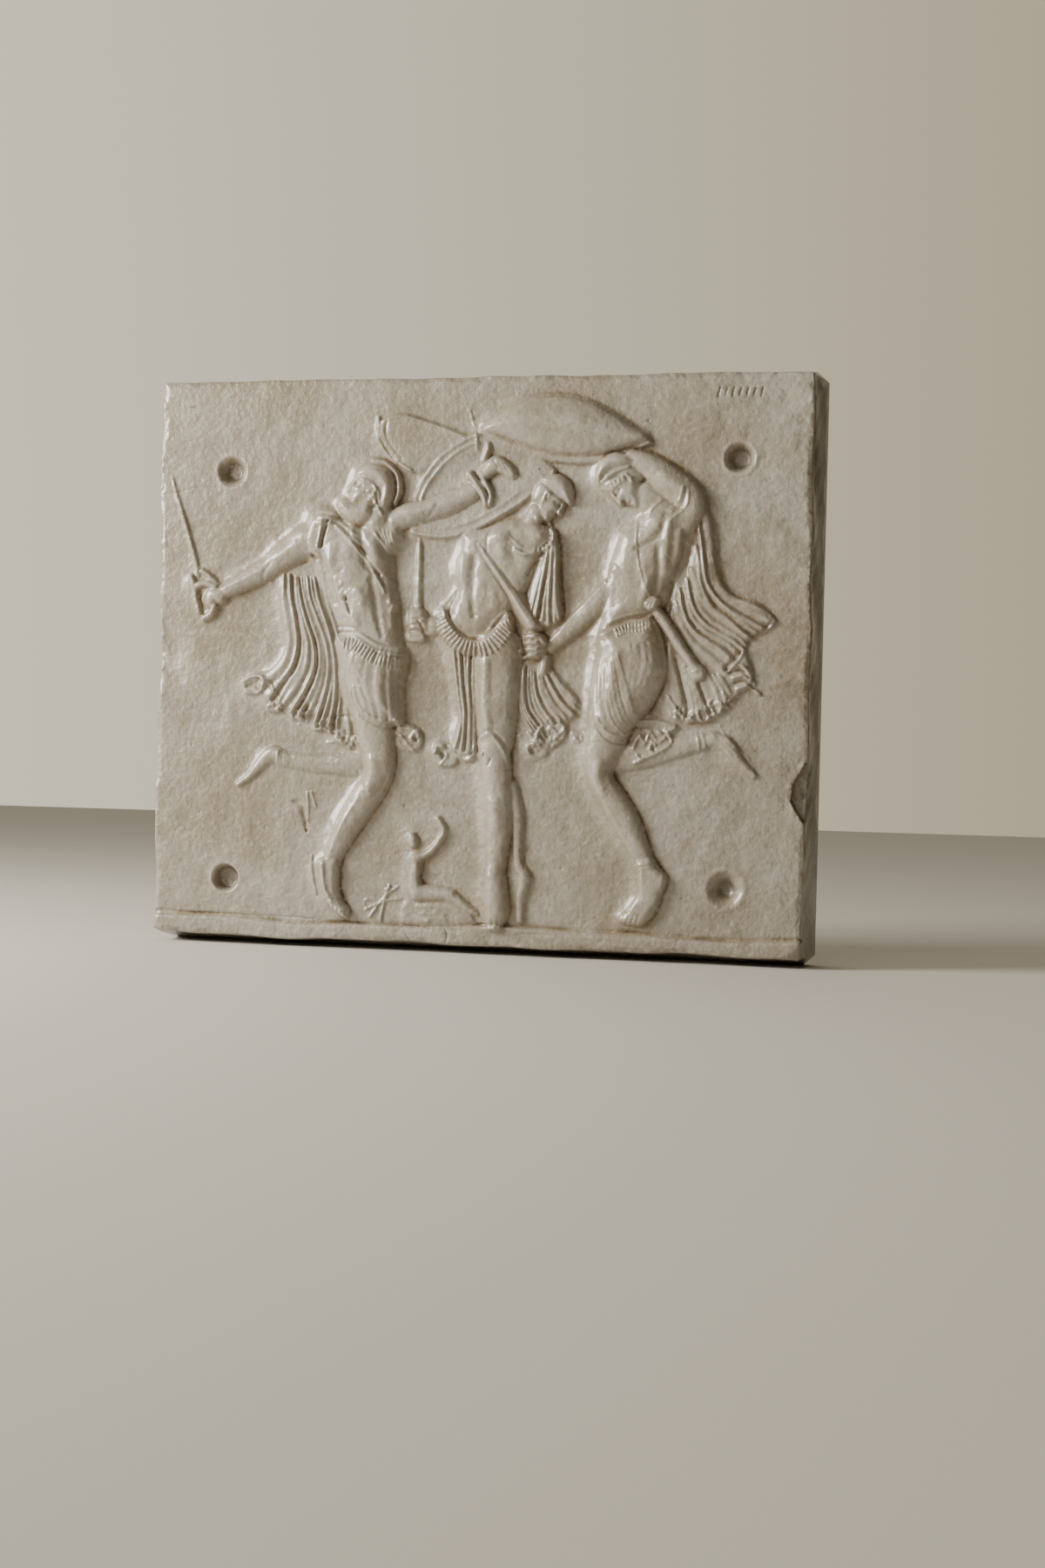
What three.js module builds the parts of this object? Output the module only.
// Plaster relief panel: a slab cast in one piece, with three armed dancers raised on its front.
// Two of them swing their shields overhead, and a small child sits on a rock between them.
// Millimetres, +Z up. The origin is the middle of the flat back, and the relief faces -Y.
import * as THREE from 'three';

// Slab
const slabWidth = 500; // front edge to front edge, left to right
const slabHeight = 424; // front edge to front edge, bottom to top
const slabDepth = 45; // flat back to the ground of the relief
const sideFlare = 6; // each side spreads by this much from the front to the back
const edgeWear = 1.2; // how far the front edges are rubbed down
const edgeWearWidth = 7;

// Soft dent in the left edge, and a chip off the right one
const dentReach = 30; // how far it comes in from the edge
const dentHeight = 68;
const dentDepth = 2.5;
const chipReach = 10;
const chipHeight = 46;
const chipDepth = 4;
const chipSlope = 9; // drop from the chip's rim to where its floor would lie at the edge
const chipBelowMiddle = 91; // middle of the slab down to the middle of the chip

// Ledge that the dancers stand on
const ledgeHeight = 14; // bottom edge to the line under the feet
const ledgeRise = 2;
const ledgeStep = 3; // width over which the ledge comes forward

// Round fixing sinkings near the corners, blind
const sinkingRadius = 12.5;
const sinkingDepth = 8;
const sinkingFloorRadius = 5;
const sinkingFromSide = 55;
const sinkingFromTop = 66;
const sinkingFromBottom = 46;

// Figures, drawn in their own units and set on the ledge
const figuresHeight = 396; // line under the feet to the top of the highest shield
const drawnHeight = 396; // the same height in drawing units
const drawnMiddle = 198; // the drawing's zero above the line under the feet
const reliefDepth = 13; // ground of the relief to the fullest thigh
const drawnDepth = 13; // the same depth in drawing units

// The front is worked out on a fine grid, and facets are spent where they follow it best
const gridStep = 0.8;
const frontFacets = 9300;

const plasterColour = 0xaea596;
const plasterRoughness = 0.5;

const drawingScale = figuresHeight / drawnHeight;
const depthScale = reliefDepth / drawnDepth;
const clamp01 = (value) => Math.min(1, Math.max(0, value));
const ease = (value) => clamp01(value) ** 2 * (3 - 2 * clamp01(value));

/** A smooth course through stations, each a list of place and other values, with steps between them. */
function course(stations, closed = false, steps = 4) {
  const count = stations.length;
  const spans = closed ? count : count - 1;
  const at = (index) => (closed ? stations[(index + count) % count] : stations[THREE.MathUtils.clamp(index, 0, count - 1)]);
  const points = [];
  for (let span = 0; span < spans; span += 1) {
    for (let step = 0; step < steps; step += 1) {
      const t = step / steps;
      const [before, start, end, after] = [-1, 0, 1, 2].map((offset) => at(span + offset));
      points.push(start.map((value, axis) => 0.5 * (2 * value + (end[axis] - before[axis]) * t
        + (2 * before[axis] - 5 * value + 4 * end[axis] - after[axis]) * t * t
        + (3 * value - before[axis] - 3 * end[axis] + after[axis]) * t * t * t)));
    }
  }
  if (!closed) points.push([...stations[count - 1]]);
  return points;
}

/** Box around points, grown by a margin. */
function boxAround(points, margin) {
  const xs = points.map((point) => point[0]);
  const zs = points.map((point) => point[1]);
  return [Math.min(...xs) - margin, Math.min(...zs) - margin, Math.max(...xs) + margin, Math.max(...zs) + margin];
}

/** Calls visit with the distance to each piece of a course and the share along that piece. */
function alongCourse(points, x, z, visit) {
  for (let index = 0; index + 1 < points.length; index += 1) {
    const [startX, startZ] = points[index];
    const runX = points[index + 1][0] - startX;
    const runZ = points[index + 1][1] - startZ;
    const share = clamp01(((x - startX) * runX + (z - startZ) * runZ) / (runX * runX + runZ * runZ + 1e-9));
    visit(Math.hypot(x - startX - runX * share, z - startZ - runZ * share), index, share);
  }
}

/** Height of a half round form at a share of its radius, falling away steeply outside it. */
const halfRound = (share) => (share < 1 ? Math.sqrt(1 - share * share) : 2.5 * (1 - share));

/** A rounded limb along stations of place and radius. The crest is its height where it is widest. */
function limb(stations, crest, lift = 0) {
  const points = course(stations);
  const widest = Math.max(...points.map((point) => point[2]));
  const height = (x, z) => {
    let best = -Infinity;
    alongCourse(points, x, z, (distance, index, share) => {
      const radius = THREE.MathUtils.lerp(points[index][2], points[index + 1][2], share);
      best = Math.max(best, crest * Math.sqrt(radius / widest) * halfRound(distance / radius));
    });
    return lift + best;
  };
  return { box: boxAround(points, widest * 1.6), height };
}

/** A full form inside a closed outline, rounded over a shoulder of the given width. */
function form(outline, crest, shoulder, lift = 0) {
  const points = course(outline, true);
  points.push(points[0]);
  const height = (x, z) => {
    let nearest = Infinity;
    let inside = false;
    alongCourse(points, x, z, (distance, index) => {
      nearest = Math.min(nearest, distance);
      const [startX, startZ] = points[index];
      const [endX, endZ] = points[index + 1];
      if (startZ > z !== endZ > z && x < startX + ((z - startZ) / (endZ - startZ)) * (endX - startX)) inside = !inside;
    });
    return lift + crest * halfRound(inside ? Math.max(0, 1 - nearest / shoulder) : 1 + nearest / shoulder);
  };
  return { box: boxAround(points, shoulder), height };
}

/** An ellipse as an outline, tilted by degrees. */
function ellipse(x, z, radiusX, radiusZ, tilt = 0) {
  const turn = THREE.MathUtils.degToRad(tilt);
  return Array.from({ length: 10 }, (_, index) => {
    const angle = (index * Math.PI) / 5;
    const across = radiusX * Math.cos(angle);
    const up = radiusZ * Math.sin(angle);
    return [x + across * Math.cos(turn) - up * Math.sin(turn), z + across * Math.sin(turn) + up * Math.cos(turn)];
  });
}

/** A soft rib along stations of place and half width, for adding to a surface. A negative rise cuts a groove. */
function rib(stations, rise) {
  const points = course(stations);
  const widest = Math.max(...points.map((point) => point[2]));
  const height = (x, z) => {
    let best = 0;
    alongCourse(points, x, z, (distance, index, share) => {
      const reach = distance / THREE.MathUtils.lerp(points[index][2], points[index + 1][2], share);
      if (reach < 1) best = Math.max(best, Math.cos((reach * Math.PI) / 2) ** 2);
    });
    return rise * best;
  };
  return { box: boxAround(points, widest), height };
}

/** A rib of one half width along places. */
const evenRib = (places, halfWidth, rise) => rib(places.map(([x, z]) => [x, z, halfWidth]), rise);

/** Hanging folds between two edges with the same number of places, each edge from the top down. */
function folds(leftEdge, rightEdge, count, rise) {
  return Array.from({ length: count }, (_, index) => {
    const share = (index + 0.5) / count;
    const stations = leftEdge.map(([x, z], place) => {
      const [farX, farZ] = rightEdge[place];
      const halfWidth = Math.max(1, (Math.hypot(farX - x, farZ - z) / count) * 0.55);
      return [x + (farX - x) * share, z + (farZ - z) * share, halfWidth];
    });
    return rib(stations, rise);
  });
}

/** A row of short teeth hanging from a curved line, such as a fringe, each leaning with the line. */
function fringe(places, length, spacing, rise) {
  const points = course(places);
  const curve = new THREE.CurvePath();
  points.slice(1).forEach(([x, z], index) => {
    curve.add(new THREE.LineCurve(new THREE.Vector2(...points[index]), new THREE.Vector2(x, z)));
  });
  const count = Math.floor(curve.getLength() / spacing);
  return Array.from({ length: count }, (_, index) => {
    const top = curve.getPointAt((index + 0.5) / count);
    const along = curve.getTangentAt((index + 0.5) / count);
    const halfWidth = spacing * 0.45;
    return rib([[top.x, top.y, halfWidth], [top.x + along.y * length, top.y - along.x * length, halfWidth]], rise);
  });
}

/** A rolled end of cloth: an open ring that fades on its lower left, with a pit in the middle. */
function curl(x, z, radius, rise) {
  const height = (px, pz) => {
    const reach = Math.hypot(px - x, pz - z) / radius;
    const closed = 0.6 + (0.4 * (px - x + pz - z)) / (Math.SQRT2 * radius);
    return reach < 1 ? rise * closed * Math.sin(Math.PI * clamp01(0.15 + 0.85 * reach)) : 0;
  };
  return { box: [x - radius, z - radius, x + radius, z + radius], height };
}

/** The relief above its ground, on a grid over the front of the slab, in drawing units. */
class Carving {
  constructor(columns, rows) {
    Object.assign(this, { columns, rows });
    this.heights = new Float64Array(columns * rows);
    this.standing = -slabHeight / 2 + ledgeHeight;
  }

  slabX(column) {
    return (column / (this.columns - 1) - 0.5) * slabWidth;
  }

  slabZ(row) {
    return (0.5 - row / (this.rows - 1)) * slabHeight;
  }

  work({ box: [left, bottom, right, top], height }, join) {
    for (let row = 0; row < this.rows; row += 1) {
      const z = (this.slabZ(row) - this.standing) / drawingScale - drawnMiddle;
      if (z < bottom || z > top) continue;
      for (let column = 0; column < this.columns; column += 1) {
        const x = this.slabX(column) / drawingScale;
        if (x < left || x > right) continue;
        const place = row * this.columns + column;
        this.heights[place] = join(this.heights[place], height(x, z));
      }
    }
  }

  /** Lays a form over what is there, with a fillet of the given size in the angle. */
  raise(shape, fillet = 1.2) {
    this.work(shape, (below, above) => {
      const share = clamp01(0.5 + (0.5 * (above - below)) / fillet);
      return below + (above - below) * share + fillet * share * (1 - share);
    });
    return this;
  }

  /** Adds ribs, grooves or folds to what is there. */
  model(...shapes) {
    shapes.forEach((shape) => this.work(shape, (below, above) => below + above));
    return this;
  }
}

/** Shields overhead: a fan behind, one seen from within and one full dome. */
function carveShields(carving) {
  carving.raise(form([[-74, 180], [-60, 186], [-38, 181], [-4, 168], [-20, 158], [-38, 142], [-56, 145], [-70, 162]], 2.6, 5));
  carving.model(evenRib([[-76, 181], [-77, 172], [-71, 157], [-57, 144], [-44, 139]], 3, 1.4));
  const innerRim = [[-46, 100], [-44, 125], [-33, 147], [-12, 164], [0, 171], [30, 160], [60, 144], [48, 124], [22, 106], [-10, 95]];
  carving.raise(form(innerRim, 2.2, 4));
  carving.model(evenRib([[-46, 112], [-43, 127], [-33, 146], [-14, 162], [-1, 170]], 3, 2.2));
  carving.model(evenRib([[-48, 97], [-30, 92], [-2, 96], [22, 106], [42, 121], [60, 141]], 3, 2.4));
  carving.model(evenRib([[-5, 188], [0, 172], [2, 156]], 2.5, 1.4));
  const domeRim = [[4, 171], [20, 187], [48, 198], [74, 197], [104, 184], [134, 161], [112, 153], [76, 146], [42, 155]];
  carving.raise(form(domeRim, 5, 5));
  carving.raise(form([[9, 175], [26, 189], [50, 195], [73, 194], [102, 182], [126, 165], [100, 158], [76, 156], [44, 160]], 7, 26, 4), 2);
}

/** Dancer on the left: bearded, striding left, sword arm low and shield arm raised behind. */
function carveLeftDancer(carving) {
  const cloakLeft = [[-153, 70], [-152, 44], [-148, 20], [-147, 5], [-160, -10], [-176, -24]];
  const cloakMiddle = [[-132, 66], [-129, 42], [-120, 18], [-115, -2], [-119, -24], [-127, -46]];
  const cloakRight = [[-111, 72], [-107, 42], [-98, 16], [-94, -6], [-92, -30], [-86, -62]];
  carving.raise(form([...cloakLeft, [-150, -41], [-124, -54], ...cloakRight.slice().reverse()], 3, 3));
  carving.model(...folds(cloakLeft, cloakMiddle, 5, 2.2), ...folds(cloakMiddle, cloakRight, 5, 2.2));
  [[-173, -19, 8], [-154, -34, 5], [-140, -43, 5], [-122, -52, 5], [-103, -58, 6], [-90, -64, 6]].forEach(([x, z, radius]) => {
    carving.model(curl(x, z, radius, 2));
  });

  carving.raise(limb([[-78, -80, 10], [-118, -79, 8.5], [-146, -77, 7], [-156, -71, 6.5], [-168, -81, 6], [-183, -97, 3]], 4.5));
  carving.raise(form([[-62, -40], [-48, -48], [-37, -50], [-36, -62], [-46, -69], [-60, -66]], 3, 3));
  carving.model(curl(-42, -56, 8, 2));

  const leg = [[-78, 4, 24], [-75, -28, 20], [-71, -56, 15.5], [-68, -80, 12.5], [-72, -93, 11.5], [-80, -104, 11.5],
    [-89, -118, 11], [-99, -136, 9], [-105, -151, 7.5], [-107, -165, 6.8]];
  carving.raise(limb(leg, 12.5));
  const foot = [[-114, -152], [-119, -170], [-114, -181], [-106, -188], [-90, -193], [-91, -184], [-96, -174], [-100, -151]];
  carving.raise(form(foot, 7, 6.5), 2);
  carving.raise(limb([[-123, -149, 1.6], [-120, -163, 2.2], [-116, -176, 3]], 2.6));

  carving.raise(form([[-104, 18], [-106, -8], [-101, -28], [-90, -44], [-72, -52], [-54, -50], [-51, -22], [-53, 6]], 11.5, 16), 2);
  carving.model(...folds([[-96, 10], [-98, -10], [-92, -30], [-84, -42]], [[-58, 2], [-55, -20], [-55, -38], [-62, -50]], 8, 0.8));
  const torso = [[-126, 84], [-122, 62], [-111, 40], [-104, 22], [-80, 12], [-53, 6], [-54, 24], [-58, 44], [-61, 66], [-63, 92],
    [-76, 104], [-100, 108], [-118, 106]];
  carving.raise(form(torso, 11, 15), 2);
  carving.model(rib([[-88, 90, 13], [-84, 76, 15]], 1.4), rib([[-72, 84, 8], [-70, 70, 9]], 1.4));
  carving.model(evenRib([[-84, 88], [-79, 60], [-71, 26]], 4, -1.3), evenRib([[-110, 66], [-104, 50], [-98, 38]], 5, -1.5));
  carving.model(evenRib([[-110, 107], [-92, 86], [-74, 64], [-66, 46]], 2, 1.2));
  carving.model(evenRib([[-104, 24], [-90, 21], [-74, 13], [-55, 8]], 2.6, 1.6));
  carving.model(...fringe([[-102, 18], [-90, 14], [-74, 6], [-54, 2]], 7, 2.8, 1.5));
  [0, 4.5, 9].forEach((drop) => {
    carving.model(evenRib([[-120, 112 - drop], [-107, 109 - drop], [-95, 101 - drop], [-88, 96 - drop]], 2.2, 1.4));
  });

  const swordArm = [[-112, 93, 14], [-132, 90, 14], [-149, 78, 12], [-164, 68, 10], [-182, 59, 8.5], [-202, 50, 6.5]];
  carving.raise(limb(swordArm, 9.5), 2);
  carving.model(...folds([[-126, 106], [-127, 94], [-126, 82]], [[-114, 106], [-115, 94], [-116, 80]], 3, 1.2));
  carving.raise(limb([[-241, 141, 0.8], [-229, 108, 3.4], [-218, 68, 4]], 2.8));
  carving.raise(form([[-224, 62], [-214, 61], [-206, 54], [-206, 44], [-214, 40], [-222, 46]], 7.5, 8));
  carving.raise(limb([[-213, 46, 5], [-210, 35, 5.5]], 6));

  const shieldArm = [[-60, 108, 10], [-40, 113, 10], [-20, 119, 9.5], [0, 128, 7]];
  carving.raise(limb(shieldArm, 7.5, 1.5), 1.5);
  carving.raise(limb([[-4, 138, 2.5], [4, 129, 2.5], [7, 116, 2.5]], 3, 3.5));
  carving.raise(limb([[7, 155, 4], [15, 150, 7], [24, 141, 5.5]], 5, 2));
  carving.raise(limb([[-74, 104, 4], [-66, 96, 5], [-60, 88, 3]], 4, 8));

  carving.raise(limb([[-75, 104, 12], [-73, 112, 12]], 9), 2);
  const face = [[-91, 137], [-95, 131], [-100, 125], [-96, 121], [-97, 115], [-84, 108], [-70, 118], [-78, 134]];
  carving.raise(form(face, 8, 7, 1));
  const bowl = [[-92, 136], [-89, 144], [-75, 149], [-62, 146], [-54, 138], [-53, 124], [-59, 113], [-68, 120], [-79, 130]];
  carving.raise(form(bowl, 9.5, 13, 1));
  const beard = [[-101, 118], [-92, 117], [-82, 121], [-73, 121], [-71, 108], [-83, 98], [-95, 102], [-103, 112]];
  carving.raise(form(beard, 10.5, 11, 1), 1);
  carving.model(evenRib([[-80, 148], [-70, 148], [-60, 142], [-55, 130]], 2.2, 1.6));
  carving.model(evenRib([[-93, 134], [-80, 130], [-72, 124], [-66, 116]], 1.8, -1.2));
}

/** Dancer in the middle, seen from behind: head turned right, sword held upright on the left. */
function carveMiddleDancer(carving) {
  carving.raise(form([[40, 0], [60, -10], [82, -30], [86, -54], [70, -74], [46, -76], [36, -60]], 3, 4));
  carving.model(...folds([[40, -4], [42, -24], [45, -44], [44, -70]], [[58, -6], [72, -26], [84, -44], [84, -62]], 6, 2));
  [[72, -50, 8], [55, -66, 7], [83, -55, 5]].forEach(([x, z, radius]) => carving.model(curl(x, z, radius, 2)));

  carving.raise(limb([[38, -96, 6], [42, -118, 5.5], [44, -150, 5.5], [49, -163, 6], [45, -180, 5], [46, -192, 4]], 4.5));
  carving.raise(form([[-17, 18], [-15, -12], [-9, -40], [-9, -66], [6, -70], [10, -10], [10, 14]], 4, 4));
  carving.model(...folds([[-12, 4], [-10, -30], [-6, -68]], [[8, 4], [6, -30], [4, -62]], 4, 1.6));
  carving.raise(form([[-28, -63], [-14, -60], [-6, -64], [-6, -76], [-18, -80], [-28, -74]], 3, 3));
  carving.model(curl(-21, -70, 7, 2));

  carving.raise(limb([[21, 8, 20], [22, -22, 18], [22, -54, 15.5], [21, -66, 14.5]], 11), 2);
  carving.raise(limb([[21, -66, 14.5], [24, -96, 13], [26, -124, 12], [25, -148, 9.5], [24, -160, 8.5]], 9.5), 2);
  carving.raise(limb([[25, -160, 9.5], [25, -176, 12], [25, -192, 10.5], [26, -197, 9]], 9), 2);
  carving.model(evenRib([[5, -64], [11, -57], [20, -56], [27, -62]], 2.2, 1.6));

  const back = [[-8, 90], [-12, 72], [-12, 52], [-16, 40], [-6, 24], [6, 18], [22, 28], [33, 44], [48, 62], [56, 84],
    [50, 100], [34, 104], [10, 98]];
  carving.raise(form(back, 8, 12), 2);
  carving.model(evenRib([[1, 84], [-1, 62], [2, 38]], 4, -1.6), rib([[24, 90, 13], [32, 84, 12]], 2.4));
  carving.raise(limb([[-9, 82, 8], [-14, 60, 8], [-24, 40, 7], [-33, 29, 5]], 5.5, 0), 2);
  carving.raise(form([[42, 88], [62, 90], [69, 60], [71, 32], [58, 27], [44, 32], [40, 60]], 5, 5));
  carving.model(...folds([[56, 92], [44, 62], [45, 32]], [[64, 90], [68, 60], [70, 30]], 5, 1.8));
  carving.model(evenRib([[38, 84], [48, 86], [56, 94], [54, 104]], 3, 2.2));

  carving.raise(form([[-24, 40], [-14, 28], [0, 20], [14, 22], [30, 38], [33, 26], [22, 12], [2, 3], [-14, 10], [-24, 22]], 8, 6));
  carving.model(evenRib([[-20, 37], [-10, 26], [4, 18], [16, 23], [28, 36]], 2.6, 1.6));
  carving.model(...fringe([[-21, 31], [-11, 20], [3, 13], [16, 17], [29, 30]], 9, 3, 1.8));

  carving.raise(limb([[-41, 96, 1.4], [-42, 66, 3.4], [-42, 40, 3.6]], 2.8));
  carving.raise(form([[-47, 34], [-40, 38], [-32, 34], [-31, 24], [-40, 20], [-47, 24]], 6, 6));
  carving.raise(form([[-48, 22], [-36, 22], [-36, 10], [-48, 10]], 4, 2.5));
  carving.raise(limb([[4, 91, 2], [22, 64, 4.2], [46, 20, 4.6]], 3.4, 8.5));

  carving.raise(limb([[43, 97, 9], [50, 111, 8]], 6.5), 2);
  carving.raise(form([[52, 130], [48, 118], [52, 108], [60, 106], [68, 113], [70, 120], [63, 129]], 7, 8, 1));
  carving.raise(form([[57, 133], [63, 142], [72, 138], [76, 128], [73, 121], [64, 126]], 7.5, 8, 1));
  carving.model(evenRib([[57, 134], [66, 128], [74, 122]], 1.6, -1.2));
}

/** Dancer on the right: head bowed under the raised shield arm, cloak flying out behind. */
function carveRightDancer(carving) {
  const cloakInner = [[156, 64], [154, 44], [156, 30], [162, 18], [171, 8], [184, -4]];
  const cloakOuter = [[171, 121], [180, 98], [185, 70], [194, 51], [210, 42], [225, 32]];
  carving.raise(form([[162, 122], ...cloakOuter, [211, 20], [206, 12], [212, -8], [196, -26], [180, -40], [152, -40], [148, 10],
    [150, 44]], 3, 3));
  carving.model(...folds(cloakInner, cloakOuter, 8, 2.2));
  carving.model(...folds([[148, 18], [152, -14], [156, -37]], [[186, -6], [192, -18], [198, -28]], 7, 1.5));
  carving.model(evenRib([[213, 21], [217, 24], [222, 30]], 2.4, -2.2), evenRib([[192, -3], [196, 3], [201, 9]], 2.8, -2.4));
  carving.raise(form([[120, -30], [146, -12], [160, -34], [158, -62], [140, -74], [122, -68]], 3, 4));
  carving.model(...folds([[124, -34], [122, -50], [126, -68]], [[146, -16], [156, -36], [156, -60]], 5, 2));

  carving.raise(limb([[108, -68, 12], [138, -66, 9.5], [166, -60, 7.5], [184, -53, 6.5], [196, -64, 6.5], [213, -82, 3.5]], 4.5));

  const leg = [[119, 2, 24], [111, -28, 20], [105, -56, 16], [100, -77, 11.5], [103, -90, 10.6], [111, -101, 11],
    [121, -116, 10.6], [130, -133, 8.6], [138, -149, 7]];
  carving.raise(limb(leg, 12.5));
  const foot = [[130, -144], [142, -141], [155, -157], [151, -169], [148, -179], [134, -192], [121, -190], [119, -184],
    [132, -167], [131, -156]];
  carving.raise(form(foot, 8, 7.5), 2.5);

  const kilt = [[97, 22], [95, 4], [92, -18], [90, -42], [96, -54], [116, -52], [136, -38], [148, -14], [147, 8], [138, 32], [116, 28]];
  carving.raise(form(kilt, 12, 18), 2);
  carving.model(...folds([[100, -8], [95, -30], [96, -52]], [[132, -14], [130, -32], [118, -50]], 6, 1));

  const torso = [[112, 104], [107, 90], [102, 74], [99, 46], [97, 20], [116, 26], [140, 36], [148, 48], [158, 68], [167, 92],
    [168, 112], [158, 122], [136, 112]];
  carving.raise(form(torso, 10.5, 15), 2);
  carving.model(rib([[118, 90, 10], [120, 80, 10]], 1.6), evenRib([[144, 110], [140, 96], [126, 85]], 3, -1.4));
  carving.model(evenRib([[124, 84], [118, 60], [110, 34]], 4, -1), evenRib([[120, 110], [121, 84], [128, 60], [134, 48]], 2, 1));
  carving.model(evenRib([[98, 22], [112, 27], [126, 31], [138, 36]], 2.6, 1.4));
  carving.model(...fringe([[100, 17], [114, 22], [136, 31]], 6, 2.6, 1.4));

  carving.raise(limb([[158, 96, 10], [163, 114, 11], [158, 124, 12], [142, 138, 12], [122, 148, 10]], 7, 4.5), 2);
  carving.model(evenRib([[158, 130], [154, 120], [150, 110]], 2, 1.2), evenRib([[163, 126], [161, 116], [152, 108]], 2, 1.2));
  carving.raise(limb([[104, 52, 13], [92, 41, 10.5], [78, 28, 8.5], [64, 14, 8]], 7), 2);
  carving.raise(form([[42, 22], [56, 24], [63, 14], [60, 2], [50, -5], [43, 4], [39, 12]], 8, 8));
  carving.raise(limb([[55, 2, 4.5], [56, -7, 4.5]], 5));

  carving.raise(form([[130, 50], [139, 50], [142, 42], [133, 39]], 5, 3, 8));
  carving.raise(limb([[138, 42, 4.5], [154, 20, 4.5], [170, -3, 4.5]], 3.5, 5));
  carving.raise(form([[164, 1], [172, 3], [178, -8], [172, -13], [165, -8]], 4, 3, 4));

  carving.raise(limb([[136, 112, 12], [128, 120, 10]], 7, 0.6), 3);
  carving.raise(form([[104, 140], [99, 130], [105, 123], [113, 116], [122, 112], [130, 119], [130, 134], [119, 144]], 9, 9, 0.8));
  carving.model(evenRib([[99, 133], [102, 141], [110, 147], [121, 147]], 2.2, 2));
  carving.model(rib([[107, 131, 3], [110, 128, 3]], -1.8), evenRib([[115, 119], [119, 118], [123, 117]], 1.6, -1.4));
}

/** Child on a rock with one arm up, and the crossed rods on the ground before it. */
function carveChild(carving) {
  carving.raise(form([[-48, -182], [-20, -178], [0, -186], [8, -197], [-48, -198]], 2, 4));
  carving.raise(limb([[-40, -150, 7], [-39, -163, 8], [-37, -174, 9.5]], 6.5));
  carving.raise(limb([[-36, -173, 9], [-20, -173, 7]], 6.5), 1.5);
  carving.raise(limb([[-20, -173, 6.5], [-8, -179, 5.5], [4, -186, 4.5]], 5.5), 1.5);
  carving.raise(limb([[-38, -148, 4], [-27, -143, 3.5], [-20, -131, 3], [-24, -118, 3]], 4.5));
  carving.raise(form(ellipse(-42, -134, 7.5, 8), 6, 6.5));
  [[[-74, -194], [-63, -178], [-53, -170]], [[-78, -188], [-62, -181], [-50, -180]], [[-66, -196], [-64, -184], [-60, -170]]]
    .forEach((places) => carving.raise(limb(places.map(([x, z]) => [x, z, 1.8]), 2)));
}

/** Height of the slab's front above the ground of the relief, in millimetres. */
function slabFront(x, z) {
  const fromSide = slabWidth / 2 - Math.abs(x);
  const fromBottom = slabHeight / 2 + z;
  const fromTop = slabHeight / 2 - z;
  const fromEdge = Math.min(fromSide, fromBottom, fromTop);
  let height = ledgeRise * ease((ledgeHeight - fromBottom) / ledgeStep);
  height -= edgeWear * ease(1 - fromEdge / edgeWearWidth);
  const sinkingZ = z > 0 ? fromTop - sinkingFromTop : fromBottom - sinkingFromBottom;
  const reach = Math.hypot(fromSide - sinkingFromSide, sinkingZ);
  return height - sinkingDepth * ease((sinkingRadius - reach) / (sinkingRadius - sinkingFloorRadius));
}

/** Worn places of the slab's edges. */
function slabWear(x, z) {
  const dentShare = 1 - clamp01(Math.hypot((x + slabWidth / 2) / dentReach, (2 * z) / dentHeight));
  const chipShare = 1 - clamp01(Math.hypot((x - slabWidth / 2) / chipReach, (2 * (z + chipBelowMiddle)) / chipHeight));
  return -dentDepth * dentShare - Math.min(chipDepth, chipSlope * chipShare);
}

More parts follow.
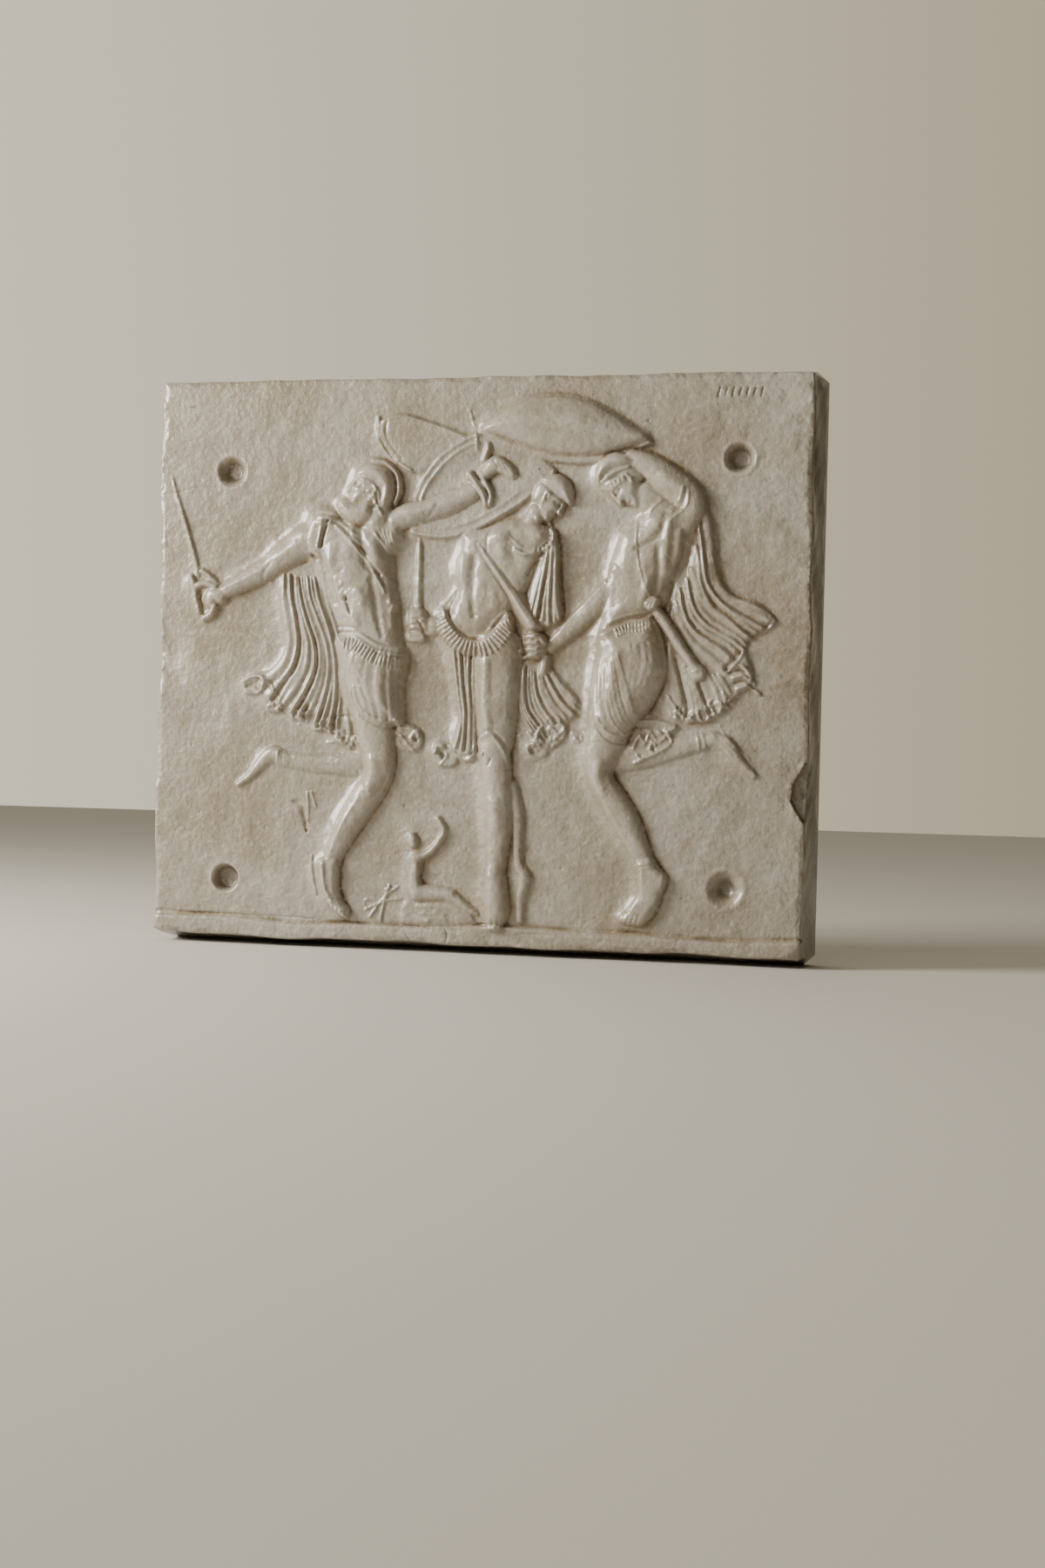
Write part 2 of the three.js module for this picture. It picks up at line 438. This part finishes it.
/** Facets that follow a grid of heights: each step adds a corner where they stray furthest, and keeps them plump. */
class FacetedGrid {
  constructor(heights, columns, rows, step) {
    Object.assign(this, { heights, columns, rows });
    this.weights = heights.map((_, place) => 1 / Math.hypot(1, this.slope(place, 1) / step, this.slope(place, columns) / step));
    this.corners = [];
    this.opposites = [];
    this.worst = [];
    this.stale = [];
    const [topLeft, topRight] = [0, columns - 1];
    const [bottomLeft, bottomRight] = [(rows - 1) * columns, rows * columns - 1];
    const first = this.facet(bottomRight, topLeft, bottomLeft, -1, -1, -1);
    this.facet(topLeft, bottomRight, topRight, first, -1, -1);
    this.measure();
  }

  /** Change of height from one grid point to the one after it, by a stride of places. */
  slope(place, stride) {
    const next = Math.min(place + stride, this.heights.length - 1);
    return this.heights[next] - this.heights[place];
  }

  x(place) {
    return place % this.columns;
  }

  y(place) {
    return Math.floor(place / this.columns);
  }

  /** Writes a facet with the facing side of each of its sides, at a new place unless one is given. */
  facet(a, b, c, ab, bc, ca, at = this.corners.length) {
    [a, b, c].forEach((corner, side) => { this.corners[at + side] = corner; });
    [ab, bc, ca].forEach((facing, side) => {
      this.opposites[at + side] = facing;
      if (facing >= 0) this.opposites[facing] = at + side;
    });
    this.worst[at / 3] = { error: 0, place: -1 };
    this.stale.push(at / 3);
    return at;
  }

  /** Twice the area of the facet a, b, c. It is above zero for every facet kept here. */
  area(a, b, c) {
    return (this.x(b) - this.x(c)) * (this.y(a) - this.y(c)) - (this.y(b) - this.y(c)) * (this.x(a) - this.x(c));
  }

  /** Finds, in each facet that changed, the grid point that lies furthest off it. */
  measure() {
    new Set(this.stale).forEach((number) => {
      const [a, b, c] = this.corners.slice(number * 3, number * 3 + 3);
      const whole = this.area(a, b, c);
      const found = { error: 0, place: -1 };
      const top = Math.min(this.y(a), this.y(b), this.y(c));
      const bottom = Math.max(this.y(a), this.y(b), this.y(c));
      const left = Math.min(this.x(a), this.x(b), this.x(c));
      const right = Math.max(this.x(a), this.x(b), this.x(c));
      for (let row = top; row <= bottom; row += 1) {
        for (let column = left; column <= right; column += 1) {
          const place = row * this.columns + column;
          const byA = this.area(place, b, c) / whole;
          const byB = this.area(a, place, c) / whole;
          const byC = 1 - byA - byB;
          if (byA < -1e-9 || byB < -1e-9 || byC < -1e-9) continue;
          const flat = byA * this.heights[a] + byB * this.heights[b] + byC * this.heights[c];
          const error = Math.abs(flat - this.heights[place]) * this.weights[place];
          if (error > found.error && place !== a && place !== b && place !== c) Object.assign(found, { error, place });
        }
      }
      this.worst[number] = found;
    });
    this.stale = [];
  }

  /** Whether a point lies within the circle through three corners. */
  encircled(a, b, c, point) {
    const [dx, dy] = [this.x(a) - this.x(point), this.y(a) - this.y(point)];
    const [ex, ey] = [this.x(b) - this.x(point), this.y(b) - this.y(point)];
    const [fx, fy] = [this.x(c) - this.x(point), this.y(c) - this.y(point)];
    const [dd, ee, ff] = [dx * dx + dy * dy, ex * ex + ey * ey, fx * fx + fy * fy];
    return dx * (ey * ff - ee * fy) - dy * (ex * ff - ee * fx) + dd * (ex * fy - ey * fx) < 0;
  }

  /** The side's own corners and the sides round it: its facet is start, end, tip. */
  around(side) {
    const base = side - (side % 3);
    const [next, last] = [base + ((side + 1) % 3), base + ((side + 2) % 3)];
    return { base, next, last, start: this.corners[side], end: this.corners[next], tip: this.corners[last] };
  }

  /** Turns the side between two facets where that makes them plumper, and looks on from there. */
  settle(side) {
    const facing = this.opposites[side];
    if (facing < 0) return;
    const [here, there] = [this.around(side), this.around(facing)];
    if (!this.encircled(here.tip, here.start, here.end, there.tip)) return;
    const [hereNext, hereLast] = [this.opposites[here.next], this.opposites[here.last]];
    const [thereNext, thereLast] = [this.opposites[there.next], this.opposites[there.last]];
    const first = this.facet(here.tip, there.tip, here.end, -1, thereLast, hereNext, here.base);
    const second = this.facet(there.tip, here.tip, here.start, first, hereLast, thereNext, there.base);
    this.settle(first + 1);
    this.settle(second + 2);
  }

  /** Adds a corner inside a facet, which becomes three. */
  splitFacet(place, base) {
    const [a, b, c] = this.corners.slice(base, base + 3);
    const [ab, bc, ca] = this.opposites.slice(base, base + 3);
    const first = this.facet(a, b, place, ab, -1, -1, base);
    const second = this.facet(b, c, place, bc, -1, first + 1);
    const third = this.facet(c, a, place, ca, first + 2, second + 1);
    [first, second, third].forEach((side) => this.settle(side));
  }

  /** Adds a corner on a side, which splits the facets on both sides of it, or the one at the border. */
  splitSide(place, side) {
    const here = this.around(side);
    const [hereNext, hereLast] = [this.opposites[here.next], this.opposites[here.last]];
    const facing = this.opposites[side];
    if (facing < 0) {
      const first = this.facet(place, here.tip, here.start, -1, hereLast, -1, here.base);
      const second = this.facet(here.tip, place, here.end, first, -1, hereNext);
      this.settle(first + 1);
      this.settle(second + 2);
      return;
    }
    const there = this.around(facing);
    const [thereNext, thereLast] = [this.opposites[there.next], this.opposites[there.last]];
    const first = this.facet(here.tip, here.start, place, hereLast, -1, -1, here.base);
    const second = this.facet(here.start, there.tip, place, thereNext, -1, first + 1, there.base);
    const third = this.facet(there.tip, here.end, place, thereLast, -1, second + 1);
    const fourth = this.facet(here.end, here.tip, place, hereNext, first + 2, third + 1);
    [first, second, third, fourth].forEach((each) => this.settle(each));
  }

  /** Spends facets until there are as many as asked for. */
  spend(count) {
    while (this.worst.length < count) {
      let chosen = 0;
      this.worst.forEach(({ error }, number) => {
        if (error > this.worst[chosen].error) chosen = number;
      });
      const { error, place } = this.worst[chosen];
      if (error === 0) return;
      const base = chosen * 3;
      const side = [0, 1, 2].find((offset) => {
        const [start, end] = [this.corners[base + offset], this.corners[base + ((offset + 1) % 3)]];
        return this.area(start, end, place) === 0;
      });
      if (side === undefined) this.splitFacet(place, base);
      else this.splitSide(place, base + side);
      this.measure();
    }
  }
}

/** Closes the faceted front with drafted sides and a flat back into one solid. */
function solidFrom(heights, columns, rows) {
  const front = new FacetedGrid(heights, columns, rows, gridStep);
  front.spend(frontFacets);

  const positions = [];
  const indices = [];
  const numbers = new Map();
  const shareX = (place) => front.x(place) / (columns - 1) - 0.5;
  const shareZ = (place) => 0.5 - front.y(place) / (rows - 1);
  const onBorder = (place) => Math.abs(shareX(place)) === 0.5 || Math.abs(shareZ(place)) === 0.5;
  const numberOf = (place) => {
    if (!numbers.has(place)) {
      const thickness = slabDepth + heights[place];
      const spread = onBorder(place) ? 2 * sideFlare * (1 - thickness / slabDepth) : 0;
      positions.push(shareX(place) * (slabWidth + spread), -thickness, shareZ(place) * (slabHeight + spread));
      numbers.set(place, numbers.size);
    }
    return numbers.get(place);
  };
  front.corners.forEach((place) => indices.push(numberOf(place)));

  const edge = (test, order) => [...numbers.keys()].filter(test).sort((a, b) => order * (a - b));
  const top = edge((place) => front.y(place) === 0, 1);
  const right = edge((place) => front.x(place) === columns - 1, 1);
  const bottom = edge((place) => front.y(place) === rows - 1, -1);
  const left = edge((place) => front.x(place) === 0, -1);
  const loop = [top, right, bottom, left].flatMap((run) => run.slice(0, -1));
  const firstBack = numbers.size;
  loop.forEach((place) => {
    positions.push(shareX(place) * (slabWidth + 2 * sideFlare), 0, shareZ(place) * (slabHeight + 2 * sideFlare));
  });
  const centre = firstBack + loop.length;
  positions.push(0, 0, 0);
  loop.forEach((place, index) => {
    const next = (index + 1) % loop.length;
    const [frontHere, frontNext] = [numbers.get(place), numbers.get(loop[next])];
    indices.push(frontHere, frontNext, firstBack + index, frontNext, firstBack + next, firstBack + index);
    indices.push(firstBack + index, firstBack + next, centre);
  });

  const geometry = new THREE.BufferGeometry();
  geometry.setAttribute('position', new THREE.Float32BufferAttribute(positions, 3));
  geometry.setIndex(indices);
  geometry.computeVertexNormals();
  return geometry;
}

function reliefPanel() {
  const columns = Math.round(slabWidth / gridStep) + 1;
  const rows = Math.round(slabHeight / gridStep) + 1;
  const carving = new Carving(columns, rows);
  [carveShields, carveLeftDancer, carveMiddleDancer, carveRightDancer, carveChild].forEach((carve) => carve(carving));
  const heights = carving.heights.map((drawn, place) => {
    const x = carving.slabX(place % columns);
    const z = carving.slabZ(Math.floor(place / columns));
    return drawn * depthScale * drawingScale + slabFront(x, z) + slabWear(x, z);
  });
  const plaster = new THREE.MeshStandardMaterial({ color: plasterColour, roughness: plasterRoughness, metalness: 0 });
  const mesh = new THREE.Mesh(solidFrom(heights, columns, rows), plaster);
  mesh.name = 'relief_panel';
  return mesh;
}

const part = new THREE.Group();
part.add(reliefPanel());

export default part;
